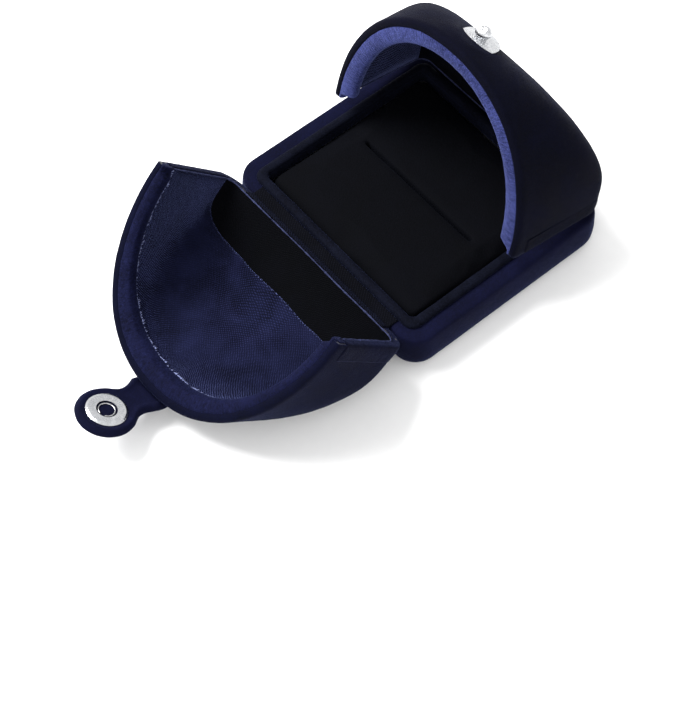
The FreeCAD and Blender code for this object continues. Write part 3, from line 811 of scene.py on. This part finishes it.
def make_lining_edge(side, seed):
    """The lining's turned edge, a thin pale cord of cloth along the inside of the wall."""
    matrix = lid_matrix(side)

    def section_at(along, point):
        radius = 0.17 + 0.09 * wobble((along, 0, 0), 1.4, seed)
        radius += 0.05 * wobble((along, 5, 0), 0.6, seed)
        rise = 0.08 + 0.12 * wobble((along, 9, 0), 8.0, seed)
        angles = [PI * k / 5 for k in range(10)]
        return [(-0.15 + radius * math.cos(a), rise + radius * math.sin(a)) for a in angles]

    foot = wall_outline(LINER_DEPTH, 4.4, 110)
    obj = roll_along(side + "_lid_lining_edge", foot, section_at, matrix, seed, 0.04)
    dress(obj, LINING_EDGE)
    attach(obj, side + "_lid")


for index, lid in enumerate(("left", "right")):
    make_outer_velvet(lid)
    make_rim(lid, 11.0 + index)
    make_pile_edge(lid, 31 + index)
    make_liner(lid, 51.0 + index)
    make_end_liner(lid, 61.0 + index)
    make_hem(lid, 71.0 + index)
    make_lining_edge(lid, 81.0 + index)


# ---------------------------------------------------------------- base

BASE_LOW, BASE_HIGH = box_mm("base_cover")
LIP_HIGH = box_mm("collar_cover")[1]
CORNER_STEPS, SIDE_STEPS = 14, 44


def outline(half_x, half_y, radius):
    """A rounded rectangle with the same number of points whatever its size."""
    radius = min(max(radius, 0.3), half_x, half_y)
    points = []
    for quarter, (sx, sy) in enumerate(((1, 1), (-1, 1), (-1, -1), (1, -1))):
        centre = Vector((sx * (half_x - radius), sy * (half_y - radius), 0))
        corner = []
        for i in range(CORNER_STEPS + 1):
            angle = PI / 2 * (quarter + i / CORNER_STEPS)
            corner.append(centre + Vector((math.cos(angle), math.sin(angle), 0)) * radius)
        if points:
            start = points[-1]
            points += [start.lerp(corner[0], k / SIDE_STEPS) for k in range(1, SIDE_STEPS)]
        points += corner
    points += [points[-1].lerp(points[0], k / SIDE_STEPS) for k in range(1, SIDE_STEPS)]
    return points


def ring_solid(name, loops):
    """A closed ring through loops of (outline points, height)."""
    rows = [[Vector((p.x, p.y, z)) for p in points] for points, z in loops]
    return grid(name, rows, ring_rows=True, ring_columns=True)


def make_base_velvet():
    half_x, half_y = BASE_HIGH.x, BASE_HIGH.y
    low, ledge = BASE_LOW.z, BASE_HIGH.z
    profile = curve_through([
        (7.9, low), (5.0, low - 0.02), (2.9, low), (1.6, low + 0.3), (0.65, low + 1.1),
        (0.15, low + 2.4), (-0.10, low + 4.4), (-0.14, low + 6.4), (-0.05, low + 8.4),
        (0.10, low + 10.0), (0.35, ledge - 0.45), (0.85, ledge - 0.10), (1.6, ledge + 0.02)], 4)
    loops = [(outline(half_x - p.x, half_y - p.x, 6.5 - p.x * 0.85), p.y) for p in profile]
    inner = outline(LIP_HIGH.x - 0.5, LIP_HIGH.y - 0.5, 2.4)
    edge = loops[-1][0]
    for part, z in ((0.3, ledge + 0.02), (0.6, ledge - 0.03), (0.85, ledge - 0.12), (1.0, ledge - 0.3)):
        loops.append(([a.lerp(b, part) for a, b in zip(edge, inner)], z))
    inside = ((4.6, ledge - 1.4), (3.0, ledge - 3.0), (2.6, low + 3.5), (4.2, low + 1.2),
              (7.9, low + 0.7))
    for inset, z in inside:
        loops.append((outline(half_x - inset, half_y - inset, 2.5), z))
    obj = ring_solid("base_velvet", loops)

    def on_wall(point):
        return smooth_step(point.z, 1.5, 4.0) * smooth_step(ledge - point.z, 0.3, 3.0)

    ruffle(obj, 0.16, 13.0, 2.0, on_wall)
    ruffle(obj, 0.04, 1.7, 4.0)
    dress(obj, VELVET_OUTER)
    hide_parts("base_cover")
    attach(obj, "base")


def make_lip():
    """Velvet folded over the collar: a soft rolled lip round the pad."""
    half_x, half_y, top = LIP_HIGH.x, LIP_HIGH.y, LIP_HIGH.z
    ledge = BASE_HIGH.z
    wall = 2.4
    profile = curve_through([
        (0.0, ledge - 0.15), (-0.10, ledge + 0.15), (-0.06, ledge + 0.55), (0.25, top - 0.22),
        (0.8, top + 0.02), (1.3, top + 0.06), (1.85, top - 0.04), (2.3, top - 0.35),
        (wall + 0.06, top - 0.9), (wall, top - 2.0), (wall, top - 4.0), (1.9, top - 4.6),
        (1.2, top - 3.5), (0.9, ledge - 0.6)], 3, closed=True)
    loops = []
    for p in profile:
        loops.append((outline(half_x - p.x, half_y - p.x, 2.9 - p.x * 0.55), p.y))
    obj = ring_solid("pad_lip", loops)
    ruffle(obj, 0.09, 5.0, 6.0, lambda p: smooth_step(p.z, ledge - 0.5, ledge + 0.6))
    ruffle(obj, 0.035, 1.2, 8.0)
    dress(obj, VELVET_LIP)
    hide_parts("collar_cover")
    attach(obj, "base")


PAD_VOXEL = 1.1
PAD_CAP, PAD_FRAMES, PAD_PRESSURE, PAD_QUALITY = 1.0, 20, 4.0, 6
SLIT_HALF = 0.6
SLIT_LOOPS = (0.12, 0.3, 0.5, 0.72, 1.0, 1.35, 1.8, 2.5)


def inflate(obj, frames, cap):
    """Cloth under pressure, with how far a point may move capped."""
    start = np.array([v.co for v in obj.data.vertices])
    cloth = obj.modifiers.new("puff", "CLOTH")
    cloth.settings.use_pressure = True
    cloth.settings.uniform_pressure_force = PAD_PRESSURE
    cloth.settings.effector_weights.gravity = 0.0
    cloth.settings.quality = PAD_QUALITY
    cloth.point_cache.frame_start, cloth.point_cache.frame_end = 1, frames
    scene = bpy.context.scene
    for step in range(1, frames + 1):
        scene.frame_set(step)
    apply_modifiers(obj)
    scene.frame_set(1)
    moved = np.array([v.co for v in obj.data.vertices]) - start
    size = np.linalg.norm(moved, axis=1, keepdims=True)
    moved *= np.minimum(1.0, cap * MM / np.maximum(size, 1e-12))
    obj.data.vertices.foreach_set("co", (start + moved).ravel())
    obj.data.update()


def make_pad():
    low, high = box_mm("pad_foam")
    top = box_mm("pad_cover")[1]
    half_x, half_y = top.x - 0.35, top.y - 0.35
    loops = []
    for inset, z in ((0.9, low.z + 0.1), (0.2, low.z + 0.7), (0.0, low.z + 2.5), (0.1, high.z - 1.4),
                     (0.35, high.z - 0.6), (0.9, high.z - 0.05), (2.0, high.z + 0.2)):
        loops.append([Vector((p.x, p.y, z)) for p in outline(half_x - inset, half_y - inset, 2.0)])
    obj = grid("ring_pad", loops, ring_columns=True, capped=True)
    remesh = obj.modifiers.new("even", "REMESH")
    remesh.mode, remesh.voxel_size = "VOXEL", PAD_VOXEL * MM
    apply_modifiers(obj)
    inflate(obj, PAD_FRAMES, PAD_CAP)
    finer = obj.modifiers.new("finer", "SUBSURF")
    finer.levels = finer.render_levels = 1
    apply_modifiers(obj)
    work = bmesh.new()
    work.from_mesh(obj.data)
    for at in [s * v for v in SLIT_LOOPS for s in (-1, 1)] + [0.0]:
        parts = work.verts[:] + work.edges[:] + work.faces[:]
        bmesh.ops.bisect_plane(
            work, geom=parts, plane_co=(at * MM, 0, 0), plane_no=(1, 0, 0), dist=1e-7)
    work.to_mesh(obj.data)
    work.free()
    slit_end = frame["record"]["mounts"][1]["dims"]["length_mm"] / 2
    middle = (low.z + high.z) / 2
    for vertex in obj.data.vertices:
        x, y, z = vertex.co / MM
        if z < middle:
            continue
        inside = 1 - smooth_step(abs(y), slit_end - 0.5, slit_end + 0.7)
        near_slit = 1 - smooth_step(abs(y), slit_end - 1.0, slit_end + 2.5)
        lips = 0.42 * math.exp(-(x / 1.5) ** 2) * near_slit
        cut = 5.0 * (1 - smooth_step(abs(x), SLIT_HALF * 0.55, SLIT_HALF * 1.15)) * inside
        ripple = 0.06 * wobble((x, y, 0), 3.0, 5.0) * math.exp(-(x / 2.5) ** 2)
        z = min(z, top.z + 0.15) - cut - lips + ripple
        x = min(max(x, -half_x - 0.3), half_x + 0.3)
        y = min(max(y, -half_y - 0.3), half_y + 0.3)
        vertex.co = Vector((x, y, z)) * MM
    obj.data.update()
    obj.data.shade_smooth()
    ruffle(obj, 0.10, 8.0, 12.0)
    dress(obj, VELVET_PAD)
    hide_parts("pad_cover", "pad_foam")
    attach(obj, "base")


make_base_velvet()
make_lip()
make_pad()


# ---------------------------------------------------------------- hinge tapes

TAPE_THICK = 0.18


def make_tape(side, seed):
    """A strip of cloth glued to the ledge and to the lid's underside, folded on the hinge line."""
    matrix = lid_matrix(side)
    hinge = Vector(JOINTS[side + "_lid_hinge"]["pos_m"]) / MM
    out = -1 if side == "left" else 1
    base_leaf_low, base_leaf_high = box_mm(side + "_hinge_base_leaf")
    half = base_leaf_high.y
    level = (base_leaf_low.z + base_leaf_high.z) / 2
    edge = max(abs(base_leaf_low.x), abs(base_leaf_high.x))
    on_base = [Vector((out * (edge - back), 0, level)) for back in (2.8, 2.0, 1.2, 0.5, 0.0)]
    on_lid = [(matrix @ (Vector((run, 0, -0.14)) * MM)) / MM for run in (0.45, 1.1, 1.9, 2.6, 3.05)]
    path = curve_through(on_base + [hinge + Vector((out * 0.05, 0, -0.06))] + on_lid, 4)
    rows = []
    for k in range(105):
        y = mix(-half, half, k / 104)
        row = []
        for i, p in enumerate(path):
            shake = 0.03 * wobble((y, i * 0.4, 0), 2.4, seed)
            row.append(Vector((p.x, y, p.z + shake)))
        rows.append(row)
    obj = grid(side + "_hinge_tape", rows)
    obj = thicken(obj, TAPE_THICK)
    dress(obj, TAPE)
    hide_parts(side + "_hinge_base_leaf", side + "_hinge_lid_leaf")
    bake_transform(obj)


make_tape("left", 5.0)
make_tape("right", 6.0)


# ---------------------------------------------------------------- strap

STRAP_BEND, STRAP_BEND_R, STRAP_STRAIGHT = math.radians(14.0), 12.0, 8.893
STRAP_END_R, STRAP_ROOT, STRAP_NECK = box_mm("strap_cover")[1].y, box_mm("strap_anchor")[1].y, 4.4
SOCKET_RUN = STRAP_BEND_R * math.sin(STRAP_BEND) + STRAP_STRAIGHT * math.cos(STRAP_BEND)
FLEX = math.radians(JOINTS["strap_flex"]["range_deg"][1])
PIVOT = Vector(JOINTS["strap_flex"]["pos_m"]) / MM


def strap_matrix():
    """The strap's own frame at rest: X along it and Z on the side of the cap."""
    turn = lid_matrix("left").to_3x3().to_4x4() @ Matrix.Rotation(-FLEX, 4, "Y")
    return Matrix.Translation(PIVOT * MM) @ turn


def strap_line(x):
    """Height and upward normal of the strap's middle at a plan distance from the pivot."""
    run = STRAP_BEND_R * math.sin(STRAP_BEND)
    if x <= run:
        angle = math.asin(max(x, 0) / STRAP_BEND_R)
        return (Vector((x, 0, STRAP_BEND_R * (math.cos(angle) - 1))),
                Vector((math.sin(angle), 0, math.cos(angle))))
    fall = STRAP_BEND_R * (1 - math.cos(STRAP_BEND)) + (x - run) * math.tan(STRAP_BEND)
    return Vector((x, 0, -fall)), Vector((math.sin(STRAP_BEND), 0, math.cos(STRAP_BEND)))


ROUND_FROM = SOCKET_RUN - STRAP_END_R * math.cos(math.radians(40))
WAIST = 3.4


FLARE = 0.9
NECK_WIDENING = 0.027
NECK_END_FALL = 1.5


def strap_half(x):
    """Half the strap's width: a waisted neck that flares smoothly into the round end."""
    neck = STRAP_NECK + (STRAP_ROOT - STRAP_NECK) * max(1 - x / WAIST, 0.0) ** 1.6
    neck += NECK_WIDENING * max(x - WAIST, 0.0) ** 2 - NECK_END_FALL * max(x - ROUND_FROM, 0.0)
    round_part = math.sqrt(max(STRAP_END_R ** 2 - (x - SOCKET_RUN) ** 2, 0.0))
    return (neck + round_part + math.hypot(neck - round_part, FLARE)) / 2


def make_strap():
    to_strap = strap_matrix()
    to_lid = lid_matrix("left")
    stations = []
    for x in (25.3, 25.9, 26.6, 27.4, 28.2, 29.0, 29.6, 30.1, 30.5):
        run = LID_LENGTH - x
        over = 0.55 + 1.15 * smooth_step(x, 25.3, 31.2)
        half = STRAP_ROOT * mix(0.78, 1.0, math.sin(PI / 2 * smooth_step(x, 25.0, 27.6)))
        point = to_lid @ (Vector((x, 0, crown(run) + over)) * MM) / MM
        thick = mix(0.45, 0.95, smooth_step(x, 25.3, 28.0))
        stations.append((point, None, half, thick, x - 31.0))
    plan = list(np.arange(0.0, ROUND_FROM - 0.2, 0.45))
    plan += [SOCKET_RUN + STRAP_END_R * math.sin(a) for a in np.linspace(math.radians(-50), PI / 2, 38)]
    for x in plan:
        point, normal = strap_line(x)
        half = strap_half(x)
        world = to_strap @ (point * MM) / MM
        way = (to_strap.to_3x3() @ normal).normalized()
        stations.append((world, way, half, 0.92, x))
    rows = []
    for i, (point, way, half, thick, x) in enumerate(stations):
        if way is None:
            step = (stations[i + 1][0] - stations[max(i - 1, 0)][0]).normalized()
            way = Vector((0, 1, 0)).cross(step)
            way = -way if way.dot(to_lid.to_3x3() @ Vector((0, 0, 1))) < 0 else way
        row = []
        for k in range(56):
            turn = 2 * PI * k / 56
            c, s = math.cos(turn), math.sin(turn)
            y = half * math.copysign(abs(c) ** 0.55, c)
            rounding = smooth_step(x, ROUND_FROM + 1.0, SOCKET_RUN)
            edge = mix(half - abs(y), STRAP_END_R - math.hypot(x - SOCKET_RUN, y), rounding)
            roundness = math.sqrt(max(1 - (1 - min(max(edge, 0) / 1.25, 1)) ** 2, 0.0))
            roll = 0.45 * math.exp(-((edge - 1.2) / 0.8) ** 2)
            height = (thick + roll) * roundness
            height += 0.05 * wobble((x, y, s), 2.5, 4.0) * roundness
            rise = math.copysign(height, s) if abs(s) > 1e-9 else 0
            row.append(point + Vector((0, y, 0)) + way * rise)
        rows.append(row)
    first = rows[0]
    centre = sum(first, Vector()) / len(first)
    rows.insert(0, [centre + (p - centre) * 0.5 for p in first])
    obj = grid("strap_velvet", rows, ring_columns=True, capped=True, merge=0.01)
    ruffle(obj, 0.05, 1.5, 9.0)
    dress(obj, VELVET_OUTER)
    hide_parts("strap_cover", "strap_anchor")
    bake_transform(obj)


make_strap()


# ---------------------------------------------------------------- metal, card, foam and plastic


def centre_of(node):
    low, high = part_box(node)
    return (low + high) / 2


def paint_cad():
    """Materials for the CAD nodes that stay."""
    right = lid_matrix("right").to_3x3()
    stud_axis = right @ Vector((-math.sin(STRAP_BEND), 0, math.cos(STRAP_BEND)))
    socket_axis = strap_matrix().to_3x3() @ Vector((math.sin(STRAP_BEND), 0, math.cos(STRAP_BEND)))
    stud_metal = polished("stud_nickel", centre_of("snap_backplate"), stud_axis, 72.0)
    socket_metal = polished("socket_nickel", centre_of("snap_socket"), socket_axis, 40.0, 0.15)
    cap_metal = polished("cap_nickel", tone=(0.70, 0.71, 0.74))
    wire_metal = polished("spring_wire", tone=(0.45, 0.45, 0.46))
    by_node = {"snap_stud": stud_metal, "snap_backplate": cap_metal, "snap_socket": socket_metal,
               "snap_cap": cap_metal, "snap_spring": wire_metal, "bottom_card": CARD, "pad_board": CARD,
               "strap_core": CARD, "collar": PLASTIC, "base_shell": PLASTIC, "base_padding": FOAM}
    for side in ("left", "right"):
        by_node[side + "_lid_padding"] = FOAM
        by_node[side + "_lid_shell"] = PLASTIC
        by_node[side + "_lid_rim_core"] = PLASTIC
    for name, material in by_node.items():
        mesh = frame["nodes"][name].data
        mesh.materials.clear()
        mesh.materials.append(material)


paint_cad()


# ---------------------------------------------------------------- floor and light


FLOOR_HALF, FLOOR_DROP = 1600.0, -0.05
WORLD_STRENGTH = 1.1
KEY_WATTS, FILL_WATTS = 12.0, 1.5


def make_floor():
    paint = Paint("floor_paper")
    grain = paint.noise(paint.coords(), 0.4, 4.0, 0.6)
    colour = paint.blend_colour(grain, (0.86, 0.86, 0.86), (0.90, 0.90, 0.90))
    material = paint.finish(colour, 0.9, paint.bump(grain, 0.02, 0.2), Specular_IOR_Level=0.1)
    corners = ((-1, -1), (1, -1), (1, 1), (-1, 1))
    points = [(x * FLOOR_HALF, y * FLOOR_HALF, FLOOR_DROP) for x, y in corners]
    floor = mesh_object("floor", points, [(0, 1, 2, 3)])
    if floor.data.polygons[0].normal.z < 0:
        floor.data.flip_normals()
    dress(floor, material)


def make_light(name, place, aim, size, power, colour=(1.0, 1.0, 1.0)):
    data = bpy.data.lights.new(name, "AREA")
    data.shape, data.size, data.size_y = "RECTANGLE", size[0], size[1]
    data.energy, data.color = power, colour
    light = bpy.data.objects.new(name, data)
    light.location = place
    light.rotation_mode = "QUATERNION"
    light.rotation_quaternion = (Vector(place) - Vector(aim)).to_track_quat("Z", "Y")
    bpy.context.scene.collection.objects.link(light)


def make_world():
    world = bpy.data.worlds.new("studio")
    world.use_nodes = True
    background = world.node_tree.nodes["Background"]
    background.inputs["Color"].default_value = (1.0, 1.0, 1.0, 1.0)
    background.inputs["Strength"].default_value = WORLD_STRENGTH
    bpy.context.scene.world = world


make_floor()
make_world()
make_light("key", (-0.20, 0.40, 0.62), (0, 0, 0.02), (0.40, 0.40), KEY_WATTS)
make_light("fill", (-0.50, -0.40, 0.50), (0, 0, 0.02), (0.5, 0.4), FILL_WATTS)
bpy.context.scene.view_settings.view_transform = "Standard"
